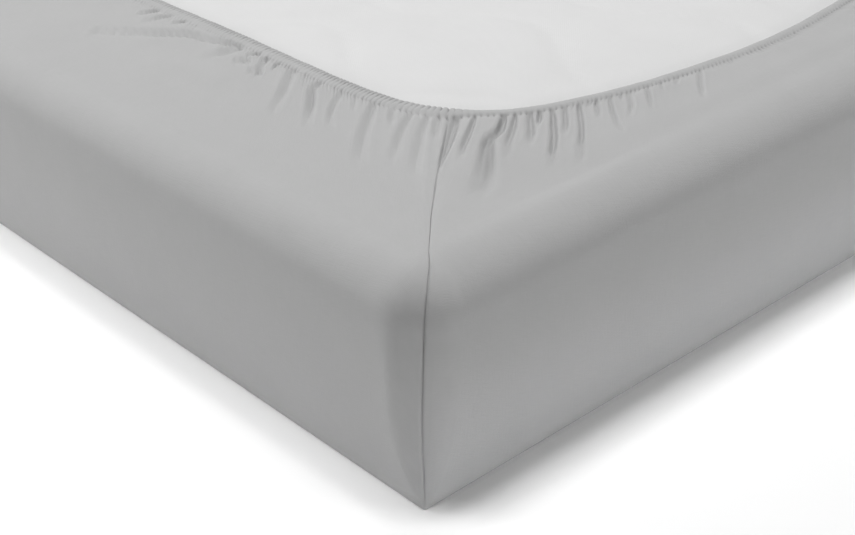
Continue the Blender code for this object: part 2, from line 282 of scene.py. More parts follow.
# The camera, as the photograph was taken.
CAMERA_PLACE = (1.5995, -0.9437, 0.6184)
CAMERA_AIM = (0.9281, -0.3767, 0.1200)
CAMERA_ROLL = math.radians(-2.9)
CAMERA_LENS = 64.9           # in millimetres, for a sensor of this width
CAMERA_SENSOR = 36.0
FLOOR_HALF = 20.0


class SheetSizes(bpy.types.PropertyGroup):
    """Sizes and finish of the cloth."""

    rib_pitch: FloatProperty(
        name="Rib pitch", description="Distance between gathers along the hem",
        default=0.0042, min=0.002, unit="LENGTH")
    rib_height: FloatProperty(
        name="Rib height", description="Height of the gathers on the rolled hem",
        default=0.0034, min=0.0, unit="LENGTH")
    pit_depth: FloatProperty(
        name="Pit depth", description="How deep the stitches draw the cloth in",
        default=0.0017, min=0.0, unit="LENGTH")
    puff: FloatProperty(
        name="Puff", description="How far the gathered cloth stands up beside the hem",
        default=0.0026, min=0.0, unit="LENGTH")
    crease_share: FloatProperty(
        name="Crease depth", description="Depth of the creases, as a share of the table's",
        default=1.0, min=0.0, max=2.0, subtype="FACTOR")
    seam_depth: FloatProperty(
        name="Seam depth", description="How deep the corner seams draw the cloth in",
        default=0.0010, min=0.0, unit="LENGTH")
    thread_pitch: FloatProperty(
        name="Thread pitch", description="Distance between the threads of the weave",
        default=0.00045, min=0.0001, precision=5, unit="LENGTH")
    colour: FloatVectorProperty(
        name="Colour", description="Colour of the cloth", subtype="COLOR", size=3,
        min=0.0, max=1.0, default=(0.413, 0.413, 0.413))
    seed: IntProperty(
        name="Seed", description="Changes the small gathers", default=7, min=0)


class MattressSizes(bpy.types.PropertyGroup):
    """Sizes and finish of the mattress."""

    cell: FloatProperty(
        name="Cell", description="Size of the mesh's squares on the upper side",
        default=0.0062, min=0.002, unit="LENGTH")
    quilt_wave: FloatProperty(
        name="Quilt wave", description="Length of one wave of the quilting",
        default=0.235, min=0.05, unit="LENGTH")
    quilt_spacing: FloatProperty(
        name="Quilt spacing", description="Distance between the lines of quilting",
        default=0.115, min=0.03, unit="LENGTH")
    quilt_sway: FloatProperty(
        name="Quilt sway", description="How far a line of quilting sways to each side",
        default=0.0285, min=0.0, unit="LENGTH")
    quilt_depth: FloatProperty(
        name="Quilt depth", description="Depth of the lines of quilting",
        default=0.0018, min=0.0, unit="LENGTH")
    colour: FloatVectorProperty(
        name="Colour", description="Colour of the cover", subtype="COLOR", size=3,
        min=0.0, max=1.0, default=(0.615, 0.615, 0.615))


class StageSettings(bpy.types.PropertyGroup):
    """Light and floor."""

    power: FloatProperty(
        name="Light", description="Power of all lights, as a share of their table's",
        default=1.0, min=0.0, subtype="FACTOR")
    backdrop: FloatProperty(
        name="Backdrop", description="How bright the empty space behind the floor looks",
        default=1.0, min=0.0)
    floor_colour: FloatVectorProperty(
        name="Floor", description="Colour of the floor", subtype="COLOR", size=3,
        min=0.0, max=1.0, default=(0.92, 0.92, 0.92))
    floor_glow: FloatProperty(
        name="Floor glow", description="Light that the floor gives, as a lit table does",
        default=0.044, min=0.0)


# Small tools.

def smooth_step(low, high, value):
    """From 0 at low to 1 at high, without a corner."""
    share = np.clip((value - low) / (high - low), 0.0, 1.0)
    return share * share * (3 - 2 * share)


def bell(value, width):
    """1 at nought, a third of that at the width, and falling to nought."""
    return np.exp(-(value / width) ** 2)


def with_height(plan, height):
    """Points or directions of the plan, each with its third coordinate."""
    return np.column_stack([plan, np.broadcast_to(height, len(plan))])


def lattice(number, seed):
    """A random height from -1 to 1 for each whole number."""
    return np.modf(np.sin(number * 127.1 + seed * 311.7) * 43758.5453)[0]


def ripple(place, seed):
    """Random heights along a line, blended smoothly."""
    cell = np.floor(place)
    share = smooth_step(0.0, 1.0, place - cell)
    return lattice(cell, seed) * (1 - share) + lattice(cell + 1, seed) * share


def uneven(kind, place):
    """Random heights along a line, in metres, for one kind of unevenness."""
    height, apart, seed = kind
    return height * MM * ripple(place / apart, seed)


def swell(across, along, seed):
    """Random heights over a surface, blended smoothly."""
    cell = np.floor(along)
    share = smooth_step(0.0, 1.0, along - cell)
    here = ripple(across + ROW_SHIFT * lattice(cell, seed), seed)
    there = ripple(across + ROW_SHIFT * lattice(cell + 1, seed), seed)
    return here * (1 - share) + there * share


def upper_side(x, y):
    """Height of the cloth over a point of the plan, without its folds."""
    inset = np.minimum(LENGTH / 2 - np.abs(x), WIDTH / 2 - np.abs(y))
    rise = np.maximum(inset - EDGE_RADIUS, 0.0) / CROWN_REACH
    return EDGE_HEIGHT + CROWN * (1 - 1 / (1 + rise * rise))


# Plan of the hem and of the walls in the quadrant at +X +Y. A place is a distance along the hem
# from the corner seam: negative on the long side and positive on the short side.

def hem_route():
    """Where the hem's line and arcs meet, and the wide arc's radius, from the hem's insets."""
    line_y = WIDTH / 2 - HEM_INSET_LONG
    bend_y = line_y - HEM_ARC_RADIUS * (1 - math.cos(HEM_ARC_TURN))
    wide = bend_y / math.cos(HEM_ARC_TURN)
    bend_x = LENGTH / 2 - HEM_INSET_SHORT - wide * (1 - math.sin(HEM_ARC_TURN))
    start_x = bend_x - HEM_ARC_RADIUS * math.sin(HEM_ARC_TURN)
    return {"line_y": line_y, "start_x": start_x, "bend_x": bend_x, "wide": wide}


ROUTE = hem_route()
HALF_HEM = {
    "long": ROUTE["start_x"] + HEM_ARC_RADIUS * SEAM_TURN,
    "short": (HEM_ARC_RADIUS * (HEM_ARC_TURN - SEAM_TURN)
              + ROUTE["wide"] * (math.pi / 2 - HEM_ARC_TURN)),
}
CORNER_ARC = CORNER_RADIUS * math.pi / 4
HALF_WALL = {
    "long": LENGTH / 2 - CORNER_RADIUS + CORNER_ARC,
    "short": WIDTH / 2 - CORNER_RADIUS + CORNER_ARC,
}


def hem_point(place):
    """Points of the hem's inner edge, and the directions out from it."""
    walked = HEM_ARC_RADIUS * SEAM_TURN + place
    small = np.clip(walked / HEM_ARC_RADIUS, 0.0, HEM_ARC_TURN)
    turn = small + np.maximum(walked - HEM_ARC_RADIUS * HEM_ARC_TURN, 0.0) / ROUTE["wide"]
    x = (ROUTE["start_x"] + np.minimum(walked, 0.0) + HEM_ARC_RADIUS * np.sin(small)
         + ROUTE["wide"] * (np.sin(turn) - np.sin(small)))
    y = (ROUTE["line_y"] - HEM_ARC_RADIUS * (1 - np.cos(small))
         - ROUTE["wide"] * (np.cos(small) - np.cos(turn)))
    return np.stack([x, y], -1), np.stack([np.sin(turn), np.cos(turn)], -1)


def hem_coordinates(x, y):
    """The reverse of hem_point: the place along the hem, and the distance out from it."""
    small_x, small_y = ROUTE["start_x"], ROUTE["line_y"] - HEM_ARC_RADIUS
    wide_x = ROUTE["bend_x"] - ROUTE["wide"] * math.sin(HEM_ARC_TURN)
    small_turn = np.arctan2(x - small_x, y - small_y)
    wide_turn = np.arctan2(x - wide_x, y)
    start = HEM_ARC_RADIUS * SEAM_TURN
    on_line = x < ROUTE["start_x"]
    on_wide = ~on_line & (wide_turn > HEM_ARC_TURN)
    place = np.where(on_line, x - ROUTE["start_x"] - start,
                     HEM_ARC_RADIUS * small_turn - start)
    place = np.where(on_wide, HEM_ARC_RADIUS * HEM_ARC_TURN - start
                     + ROUTE["wide"] * (wide_turn - HEM_ARC_TURN), place)
    out = np.where(on_line, y - ROUTE["line_y"],
                   np.hypot(x - small_x, y - small_y) - HEM_ARC_RADIUS)
    out = np.where(on_wide, np.hypot(x - wide_x, y) - ROUTE["wide"], out)
    return place, out


def wall_along(place):
    """How far along the wall from its corner the cloth runs that is gathered at this place."""
    share = np.where(place < 0, HALF_WALL["long"] / HALF_HEM["long"],
                     HALF_WALL["short"] / HALF_HEM["short"])
    return np.abs(place) * share


def sway(down):
    """How far the corner seam strays towards the short wall, for its way down."""
    ways, shifts = zip(*SEAM_SWAY)
    return float(np.interp(down, ways, shifts)) * MM


def wall_point(place, radius, inset, shift):
    """Points of an outline and the directions out from it. The outline lies inset from the
    walls, its corners have this radius, and its seam is shifted towards the short wall."""
    along = wall_along(place)
    bent = radius / CORNER_RADIUS * np.minimum(along, CORNER_ARC)
    walked = np.sign(place) * (bent + np.maximum(along - CORNER_ARC, 0.0))
    walked = walked + shift * bell(along, SWAY_REACH)
    side = np.sign(walked)
    bent = np.minimum(np.abs(walked), radius * math.pi / 4)
    turn = math.pi / 4 - side * bent / radius
    straight = np.abs(walked) - bent
    centre = inset + radius
    back = straight + (CORNER_RADIUS - centre) * (1 - np.exp(-straight / CORNER_FADE))
    x = LENGTH / 2 - centre + radius * np.cos(turn) - np.where(side < 0, back, 0.0)
    y = WIDTH / 2 - centre + radius * np.sin(turn) - np.where(side > 0, back, 0.0)
    return np.stack([x, y], -1), np.stack([np.cos(turn), np.sin(turn)], -1)


def hem_stray(place):
    """How far the hem runs outside its route, which is a little uneven."""
    places, strays = zip(*HEM_STRAY)
    near = np.interp(place / MM, places, strays)
    before = np.interp(place / MM - STRAY_BLEND, places, strays)
    after = np.interp(place / MM + STRAY_BLEND, places, strays)
    return (2 * near + before + after) / 4 * MM


def hem_share(place):
    """The share of its width and height that the hem keeps, which is less on the short sides."""
    return 1 - (1 - SHORT_HEM) * smooth_step(*SHORT_HEM_STARTS, place)


def across_hem(out, place):
    """How far out from the hem's route a line of its section runs, in metres."""
    return (HEM_EDGE + (out - HEM_EDGE) * hem_share(place)) * MM + hem_stray(place)


def above_hem(up, place):
    """How high a line of the hem's section runs, in metres. What stands over the stitches is
    flatter on the short sides."""
    stitched = HEM_SECTION[-1][1]
    return np.minimum(up, stitched) * MM + max(up - stitched, 0.0) * hem_share(place) * MM


# Columns of the cloth's mesh.

def half_side(corner, side, sizes):
    """The columns from a corner seam to half way along a wall, as a table of arrays.

    The hem's ribs are uneven in width, and the gaps between them in depth. Every gap and every
    rib's middle has a column.
    """
    half = HALF_HEM[side]
    draw = np.random.default_rng([sizes.seed, corner, side == "long"])
    count = 2 * round(half / sizes.rib_pitch / 2)
    widths = 1 + draw.uniform(-RIB_UNEVEN, RIB_UNEVEN, count)
    edges = np.concatenate([[0.0], np.cumsum(widths) * half / widths.sum()])
    gaps = draw.uniform(*GAP_DEPTHS, count + 1)
    pits = draw.uniform(*PIT_DEPTHS, count + 1) ** 1.3
    puckers = draw.uniform(*PUCKER_LENGTHS, count + 1) * MM
    if side == "short":
        pits = 0.5 + 0.5 * pits
        puckers = 0.35 * puckers + 0.8 * MM
    else:
        pits = pits * (1 - 0.65 * smooth_step(*CALM, edges))
    rows = []
    for rib in range(count):
        start, end = edges[rib], edges[rib + 1]
        detail = 2
        if corner == NEAR_CORNER and (side == "short" or start < FINE_REACH):
            detail = 0
        elif corner != NEAR_CORNER and start < MEDIUM_REACH:
            detail = 1
        at_seam = rib == 0
        phases = np.arange(STEPS_AT_SEAM) / STEPS_AT_SEAM if at_seam else RIB_PHASES[detail]
        for phase in phases:
            level = 0
            if at_seam:
                level = 3
            elif phase == 0:
                level = 3 if rib % 2 == 0 else 2
            elif phase == 0.5:
                level = 1
            near_start = bell(phase, PIT_REACH)
            near_end = bell(1 - phase, PIT_REACH)
            rows.append((
                start + (end - start) * phase, rib + phase, level, detail,
                (gaps[rib] * math.exp(-phase / GAP_REACH)
                 + gaps[rib + 1] * math.exp((phase - 1) / GAP_REACH)),
                pits[rib] * near_start + pits[rib + 1] * near_end,
                puckers[rib] * (1 - phase) + puckers[rib + 1] * phase,
            ))
    rows.append((half, float(count), 3, rows[-1][3], gaps[-1], pits[-1], puckers[-1]))
    names = ("along", "rib", "level", "detail", "gap", "pit", "pucker")
    table = {name: np.array(values) for name, values in zip(names, zip(*rows))}
    table["place"] = table["along"] * (-1 if side == "long" else 1)
    table["corner"] = np.full(len(rows), corner)
    return table


def walk_round(sizes):
    """All columns, once round the hem. A seam and a middle are each one column."""
    parts = []
    for corner, (_, _, first, second) in enumerate(CORNERS):
        before = half_side(corner, first, sizes)
        after = half_side(corner, second, sizes)
        parts.append({name: values[:0:-1] for name, values in before.items()})
        parts.append({name: values[:-1] for name, values in after.items()})
    walk = {name: np.concatenate([part[name] for part in parts]) for name in parts[0]}
    walk["sign"] = np.array([CORNERS[corner][:2] for corner in walk["corner"]], float)
    walk["short"] = walk["place"] > 0
    return walk


def rib_share(walk):
    """How strongly the hem is ribbed: fully on the long sides, and little on the short ones."""
    fade = 1 - 0.15 * smooth_step(-0.07, -0.02, walk["place"])
    fade = fade - 0.73 * smooth_step(-0.008, 0.02, walk["place"])
    change, apart, seed = RIB_CHANGE
    return fade * (1 - change + change * ripple(walk["place"] / apart, seed))


# Rows of the cloth's mesh. Each gives its base points, the directions in which relief lifts
# them, the relief, and the painted shade of gaps, pits, creases and seams that the finish adds.

def lip_ends(walk):
    """Where each column's way over the lip starts, at the stitches, and ends, at the edge."""
    hem, out = hem_point(walk["place"])
    stitches = across_hem(STITCHES, walk["place"])
    edge, _ = wall_point(walk["place"], CORNER_RADIUS - EDGE_RADIUS, EDGE_RADIUS, sway(AT_LIP_END))
    return hem + out * stitches[:, None], edge


def hem_row(walk, sizes, out, up, rib):
    """A row round the rolled hem."""
    lean = RIB_LEAN * smooth_step(0.0, 0.03, np.abs(walk["place"])) * ~walk["short"]
    place = walk["place"] - lean * (STITCHES - max(out, HEM_EDGE)) * MM
    point, outwards = hem_point(place)
    point = point + outwards * across_hem(out, walk["place"])[:, None]
    base = with_height(point, upper_side(*point.T) + above_hem(up, walk["place"]))
    away = np.array([out - HEM_CORE[0], up - HEM_CORE[1]])
    away = away / np.linalg.norm(away)
    lift = with_height(outwards * away[0], away[1])
    share = rib_share(walk)
    relief = sizes.rib_height * (0.5 * rib * share - walk["gap"] * rib * share)
    if rib > 0:
        relief = relief + rib * uneven(ROLL_LUMPS, walk["rib"])
        relief = relief - 0.6 * sizes.seam_depth * bell(place, 1.2 * MM)
    # Painted shade in the gaps between the ribs, across the middle of the hem, and in the
    # stitches' pits.
    gap_shade = smooth_step(*GAPS_SHADED[:2], out) * (1 - smooth_step(*GAPS_SHADED[2:], out)) * (rib > 0)
    painted_shade = walk["gap"] * share * gap_shade
    if out == STITCHES:
        relief = relief - sizes.pit_depth * walk["pit"]
        painted_shade = np.maximum(painted_shade, 0.5 * walk["pit"])
        lift = with_height(np.zeros_like(point), 1.0)
    return base, lift, relief, painted_shade


def polyline(place, out, path):
    """Distance from a bent line, and the share of its length at its nearest point."""
    path = np.array(path, float)
    lengths = np.linalg.norm(np.diff(path, axis=0), axis=1)
    walked = np.concatenate([[0.0], np.cumsum(lengths)])
    best = np.full(place.shape, np.inf)
    share = np.zeros(place.shape)
    for start, end, length, before in zip(path[:-1], path[1:], lengths, walked):
        way = (end - start) / length
        along = np.clip((place - start[0]) * way[0] + (out - start[1]) * way[1], 0.0, length)
        away = np.hypot(place - start[0] - way[0] * along, out - start[1] - way[1] * along)
        closer = away < best
        best = np.where(closer, away, best)
        share = np.where(closer, (before + along) / walked[-1], share)
    return best, share


def from_stitches(path, stitches):
    """Lead a crease that starts close to the hem back to the stitches."""
    (along, out), (next_along, next_out) = path[:2]
    reach = out - stitches
    if not 0 < reach < CLOSE_TO_HEM or next_out <= out:
        return path
    slant = (next_along - along) / (next_out - out)
    return ((along - LEAD_SLANT * slant * reach, stitches), *path)


def creases_at(corner, sizes):
    """The crease table for a corner. Away from the near corner its rows are varied."""
    rows = [dict(zip(CREASE_COLUMNS, row)) for row in CREASES]
    for row in rows:
        usual = -USUAL_HEM if row["side"] == "long" else USUAL_HEM
        row["path"] = from_stitches(row["path"], across_hem(STITCHES, usual) / MM)
    if corner == NEAR_CORNER:
        return rows
    draw = np.random.default_rng([sizes.seed, corner])
    varied = []
    for row in rows:
        shift, stretch, deeper, wider = draw.uniform(-0.08, 0.08, 4) + (1.0, 1.0, 0.95, 1.5)
        longer = draw.uniform(0.8, 1.25)
        path = [(along * shift * stretch, CREASE_FOOT + (out - CREASE_FOOT) * longer)
                for along, out in row["path"]]
        varied.append({
            "side": row["side"], "width": row["width"] * wider, "end": row["end"],
            "depth": row["depth"] * deeper * draw.uniform(0.55, 1.05), "path": path,
        })
    return varied


def crease_relief(walk, place, out, sizes):
    """Troughs and ridges of the creases at all four corners, at places on the lip."""
    relief = np.zeros(place.shape)
    for corner in range(len(CORNERS)):
        for crease in creases_at(corner, sizes):
            sign = -1 if crease["side"] == "long" else 1
            here = (walk["corner"] == corner) & (out > 0)
            away, share = polyline(place[here] * sign / MM, out[here] / MM, crease["path"])
            wide = crease["width"] * (0.85 + 0.25 * smooth_step(0.0, 0.35, share))
            wide = wide * (1 + (crease["end"] - 1) * share)
            deep = crease["depth"] * (0.9 - 0.55 * smooth_step(0.6, 1.0, share))
            trough = np.maximum(1 - away / wide, 0.0) ** TROUGH_POWER
            rims = RIM_SHARE * np.minimum(deep, RIM_STOP)
            rims = rims * bell(away - 1.3 * wide, 0.4 * wide)
            relief[here] += sizes.crease_share * MM * (rims - deep * trough)
    return relief


def small_gathers(walk, beyond, sizes):
    """Soft folds that every few ribs run into, and the short puckers at the stitches."""
    beyond = np.maximum(beyond, 0.0)
    soft = uneven(SOFT_FOLDS, walk["rib"]) * np.exp(-beyond / SOFT_REACH)
    soft = soft * (1 - 0.7 * smooth_step(*CALM, -walk["place"]))
    wide = uneven(WIDE_FOLDS, walk["rib"]) * np.exp(-beyond / WIDE_REACH)
    pits = sizes.pit_depth * walk["pit"] * np.exp(-beyond / walk["pucker"])
    return (soft + wide) * smooth_step(0.0, 0.006, beyond) - pits


def seam_shade(away):
    """Painted shade in the groove along a seam."""
    return 0.15 * bell(away, SEAM_HALF)


def seam_groove(away, deep):
    """The cloth drawn in at a seam, with a soft hollow on both sides."""
    return -deep * np.exp(-(away / SEAM_HALF) ** 1.4) - 0.3 * deep * np.exp(-away / (5 * MM))


def lip_row(walk, sizes, share):
    """A row of the lip, a share of the way from the stitches to the rounded edge."""
    start, end = lip_ends(walk)
    _, outwards = hem_point(walk["place"])
    forward = np.stack([outwards[:, 1], -outwards[:, 0]], -1)
    bow = (sway(share) - share * sway(AT_LIP_END)) * bell(walk["along"], SWAY_REACH)
    bow = bow * smooth_step(0.0, 0.02, share)
    point = start + (end - start) * share + forward * bow[:, None]
    place, out = hem_coordinates(*point.T)
    base = with_height(point, upper_side(*point.T))
    beyond = out - across_hem(STITCHES, walk["place"])
    puff = sizes.puff * smooth_step(*PUFF_GROWS, beyond) * (1 - smooth_step(*PUFF_ENDS, beyond))
    puff = puff * (1 - smooth_step(0.55, 1.0, share))
    stitched = STITCHED_RISE * np.exp(-beyond / STITCHED_REACH)
    relief = puff + stitched + small_gathers(walk, beyond, sizes)
    begun = 0.3 + 0.7 * smooth_step(0.0, 0.005, beyond)
    creases = crease_relief(walk, place, out, sizes) * begun
    relief = relief + creases * (1 - smooth_step(0.9, 1.0, share))
    away = np.abs(walk["place"]) * (1 - share) + wall_along(walk["place"]) * share
    relief = relief + seam_groove(away, sizes.seam_depth)
    high, ribs, apart, seed = LIP_SWELL
    relief = relief + high * MM * swell(walk["rib"] / ribs, out / apart, seed) * share
    lift = with_height(np.zeros_like(point), 1.0)
    # Painted shade in the stitches' pits and along the seam, and more where the mattress stops a
    # crease from sinking.
    painted_shade = 0.5 * walk["pit"] * np.exp(-np.maximum(beyond, 0.0) / 0.0015) + seam_shade(away)
    painted_shade = painted_shade + STOPPED_SHADE * np.maximum(-UNDER_CLOTH - relief, 0.0)
    return base, lift, np.maximum(relief, -UNDER_CLOTH), painted_shade


def corner_fold(walk, along, height):
    """The flat strip beside a corner seam, on the long side, where the cloth is pulled taut."""
    ridge = FOLD_RIDGE * bell(along - FOLD_WIDTH, 0.007)
    hollow = FOLD_HOLLOW * bell(along - 0.010, 0.008)
    upright = smooth_step(0.0, 0.03, height) * (1 - smooth_step(0.110, 0.135, height))
    return (ridge - hollow) * upright * ~walk["short"]


def wall_relief(walk, height, sizes):
    """Relief of the rounded edge and walls at a height above the floor, and the seam's painted
    shade.
    """
    along = wall_along(walk["place"])
    high, apart, rise, seed = WALL_SWELL
    wall = walk["corner"] * 5.0 + walk["short"]
    soft = high * MM * swell(along / apart + wall * 9.0, height / rise + wall, seed)
    soft = soft * smooth_step(0.0, 0.03, height)
    groove = seam_groove(along, sizes.seam_depth)
    relief = soft + groove * smooth_step(0.0, 0.012, height) + corner_fold(walk, along, height)
    # Painted shade along the corner seam, stronger low on the walls.
    return relief, seam_shade(along) * (1.9 - 1.1 * smooth_step(0.05, 0.09, height))


def edge_row(walk, sizes, turn):
    """A row round the upper edge."""
    inset = EDGE_RADIUS * (1 - math.sin(turn))
    shift = sway(AT_LIP_END + turn / (math.pi / 2))
    point, outwards = wall_point(walk["place"], CORNER_RADIUS - inset, inset, shift)
    height = EDGE_HEIGHT - EDGE_RADIUS * (1 - math.cos(turn))
    lift = with_height(outwards * math.sin(turn), math.cos(turn))
    return with_height(point, height), lift, *wall_relief(walk, height, sizes)


def wall_row(walk, sizes, height):
    """A row of the walls."""
    share = height / (EDGE_HEIGHT - EDGE_RADIUS)
    flare = 1 - math.exp(-(height - FOOT_RADIUS) / FOOT_FLARE)
    radius = FOOT_CORNER_RADIUS + (CORNER_RADIUS - FOOT_CORNER_RADIUS) * flare
    shift = sway(AT_FLOOR - (AT_FLOOR - AT_WALL_TOP) * share)
    point, outwards = wall_point(walk["place"], radius, 0.0, shift)
    lift = with_height(outwards, 0.0)
    return with_height(point, height), lift, *wall_relief(walk, height, sizes)


def foot_row(walk, turn):
    """A row round the lower edge, down to the floor."""
    point, outwards = wall_point(walk["place"], FOOT_CORNER_RADIUS, 0.0, sway(AT_FLOOR))
    point = point - outwards * FOOT_RADIUS * (1 - math.cos(turn))
    height = FOOT_RADIUS * (1 - math.sin(turn))
    none = np.zeros(len(point))
    return with_height(point, height), with_height(outwards, 0.0), none, none


def sheet_rows(walk, sizes):
    """All rows from the hem's hidden edge to the floor, each with the least level of the columns
    that run through it, for each class of detail."""
    rows = []
    for out, up, rib, level in HEM_SECTION:
        rows.append((hem_row(walk, sizes, out, up, rib), (level,) * 3))
    for step in range(1, LIP_ROWS):
        share = (step / LIP_ROWS) ** LIP_GROWTH
        levels = (0, 1, 1) if step < 4 else (0, 1, 2) if share < 0.5 else (1, 2, 3)
        rows.append((lip_row(walk, sizes, share), levels))
    levels = (2, 3, 3)
    for step in range(EDGE_ROWS + 1):
        rows.append((edge_row(walk, sizes, math.pi / 2 * step / EDGE_ROWS), levels))
    top = EDGE_HEIGHT - EDGE_RADIUS
    for step in range(1, WALL_ROWS):
        height = top - (top - FOOT_RADIUS) * step / WALL_ROWS
        rows.append((wall_row(walk, sizes, height), levels))
    for step in range(FOOT_ROWS + 1):
        rows.append((foot_row(walk, math.pi / 2 * step / FOOT_ROWS), levels))
    return rows


def bridge(upper, lower, total):
    """Faces between two rows: for each, the columns above and below it, in walking order.

    A row is an array of the columns that run through it. Every column of one row is in the
    other. Past the last column the count goes on from the first.
    """
    fewer = upper if len(upper) <= len(lower) else lower
    ends = np.append(fewer[1:], fewer[0] + total)
    spread = []
    for row in (upper, lower):
        round_again = np.append(row, row[0] + total)
        first = np.searchsorted(round_again, fewer)
        last = np.searchsorted(round_again, ends)
        spread.append([round_again[a:b + 1] for a, b in zip(first, last)])
    return zip(*spread)


def make_cloth(sizes):
    """The cloth's mesh, with a map of its threads in metres."""
    walk = walk_round(sizes)
    total = len(walk["place"])
    rows = sheet_rows(walk, sizes)
    step = np.linalg.norm(np.diff([row[0] for row, _ in rows], axis=0), axis=2)
    down = np.concatenate([np.zeros((1, total)), np.cumsum(step, 0)])
    wall = rows[-1][0][0] * np.append(walk["sign"], np.ones((total, 1)), 1)
    gone = np.linalg.norm(np.diff(wall, axis=0, append=wall[:1]), axis=1)
    across = np.concatenate([[0.0], np.cumsum(gone)])
    points, painted_shades, kept, numbers = [], [], [], []
    made = 0
    for (base, lift, relief, painted_shade), levels in rows:
        place = base + lift * relief[:, None]
        place[:, :2] *= walk["sign"]
        runs = np.nonzero(walk["level"] >= np.array(levels)[walk["detail"].astype(int)])[0]
        number = np.full(total, -1)
        number[runs] = made + np.arange(len(runs))
        made += len(runs)
        points.append(place[runs])
        painted_shades.append(painted_shade[runs])
        kept.append(runs)
        numbers.append(number)
    faces, threads = [], []
    for row in range(len(rows) - 1):
        for above, below in bridge(kept[row], kept[row + 1], total):
            face, uv = [], []
            for line, columns in ((row, above[::-1]), (row + 1, below)):
                for column in columns:
                    face.append(int(numbers[line][column % total]))
                    uv.append((across[column], down[line][column % total]))
            faces.append(face)
            threads += uv
    faces.append([int(number) for number in numbers[-1][kept[-1]][::-1]])
    threads += [tuple(wall[column, :2]) for column in kept[-1][::-1]]
    mesh = bpy.data.meshes.new("fitted_sheet_cloth")
    mesh.from_pydata(np.concatenate(points).tolist(), [], faces)
    thread_map = mesh.uv_layers.new(name="threads")
    thread_map.uv.foreach_set("vector", np.array(threads, np.float32).ravel())
    # Painted shade of the hem's gaps, the stitches' pits, the creases and the seams.
    mesh.attributes.new("painted_shade", "FLOAT", "POINT").data.foreach_set(
        "value", np.clip(np.concatenate(painted_shades), 0.0, 1.0).astype(np.float32))
    mesh.shade_smooth()
    mesh.polygons[len(faces) - 1].use_smooth = False
    mesh.validate()
    return mesh


# The mattress.

def quilt_relief(x, y, sizes):
    """Wavy lines of quilting along the mattress. Each line is half a wave behind the next."""
    relief = np.zeros(x.shape)
    crest_x, line_y = QUILT_CREST
    for line in QUILT_LINES:
        wave = 2 * math.pi * (x - crest_x + line * sizes.quilt_wave / 2) / sizes.quilt_wave
        middle = line_y - line * sizes.quilt_spacing + sizes.quilt_sway * np.cos(wave)
        slope = 2 * math.pi * sizes.quilt_sway / sizes.quilt_wave * np.sin(wave)
        away = np.abs(y - middle) / np.hypot(1.0, slope)
        relief -= sizes.quilt_depth * (0.75 * bell(away, 0.005) + 0.25 * bell(away, 0.016))
    return relief


def make_block(sizes):
    """A block with rounded edges. Its upper side is crowned, quilted and swells in the hem."""
    half = (BLOCK_HIGH - BLOCK_LOW) / 2
    middle = (BLOCK_HIGH + BLOCK_LOW) / 2
    top = EDGE_HEIGHT - (UNDER_CLOTH + BLOCK_GAP)
    tool = bmesh.new()
    bmesh.ops.create_cube(tool, size=1.0)
    cuts = (round(2 * half.x / sizes.cell), round(2 * half.y / sizes.cell), BLOCK_CUTS)
    for axis in range(3):
        along = [edge for edge in tool.edges
                 if abs((edge.verts[0].co - edge.verts[1].co)[axis]) > 0.5]
        bmesh.ops.subdivide_edges(tool, edges=along, cuts=cuts[axis], use_grid_fill=True)
    under = [face for face in tool.faces if face.calc_center_median().z < -0.4999]
    bmesh.ops.dissolve_faces(tool, faces=under)
    mesh = bpy.data.meshes.new("mattress_cover")
    tool.to_mesh(mesh)
    tool.free()
    points = np.zeros(len(mesh.vertices) * 3, np.float32)
    mesh.vertices.foreach_get("co", points)
    points = points.reshape(-1, 3).astype(float)
    low = BLOCK_LOW.z
    points *= (2 * half.x, 2 * half.y, top - low)
    points += (middle.x, middle.y, (top + low) / 2)
    radius = np.where(points[:, 2] > (top + low) / 2, CORNER_RADIUS, CORNER_RADIUS / 2)
    room = np.array(half[:2]) - CORNER_RADIUS
    core = with_height(np.clip(points[:, :2], -room, room),
                       np.clip(points[:, 2], low + radius, top - radius))
    away = points - core
    radii = with_height(np.full((len(points), 2), CORNER_RADIUS), radius)
    length = np.linalg.norm(away / radii, axis=1)
    points = core + away / np.maximum(length, 1e-9)[:, None]
    above = smooth_step(0.6, 1.0, away[:, 2] / radius)
    place, out = hem_coordinates(np.abs(points[:, 0]), np.abs(points[:, 1]))
    swelling = HEM_SWELL * (1 - smooth_step(-0.010, 0.002, out))
    swelling += MIDDLE_SWELL * (1 - smooth_step(-0.075, -0.010, out))
    rise = upper_side(points[:, 0], points[:, 1]) - EDGE_HEIGHT
    quilt = quilt_relief(points[:, 0], points[:, 1], sizes) * (1 - smooth_step(-0.01, 0.01, out))
    points[:, 2] += above * (rise + swelling + quilt)
    mesh.vertices.foreach_set("co", points.astype(np.float32).ravel())
    mesh.shade_smooth()
    mesh.validate()
    return mesh


# Finishes.

def node(tree, kind, place, **values):
    """A shader node. A value is one of its settings, or what an input is set or linked to."""
    made = tree.nodes.new(kind)
    made.location = place
    for name, value in values.items():
        if hasattr(made, name):
            setattr(made, name, value)
        else:
            feed(tree, made.inputs[name], value)
    return made


def feed(tree, socket, value):
    """Set an input to a number or colour, or link it to another node's output."""
    if isinstance(value, bpy.types.NodeSocket):
        tree.links.new(value, socket)
    else:
        socket.default_value = value


def sum_node(tree, place, operation, *values):
    """The output of a node that works out a sum."""
    made = node(tree, "ShaderNodeMath", place, operation=operation)
    for socket, value in zip(made.inputs, values):
        feed(tree, socket, value)
    return made.outputs[0]


def shade_ramp(tree, place, share, colour, spread):
    """A colour that runs from a little darker to a little lighter."""
    ramp = node(tree, "ShaderNodeValToRGB", place, Fac=share)
    for element, bright in zip(ramp.color_ramp.elements, (1 - spread, 1 + spread)):
        element.color = (*[min(channel * bright, 1.0) for channel in colour], 1.0)
    return ramp.outputs[0]


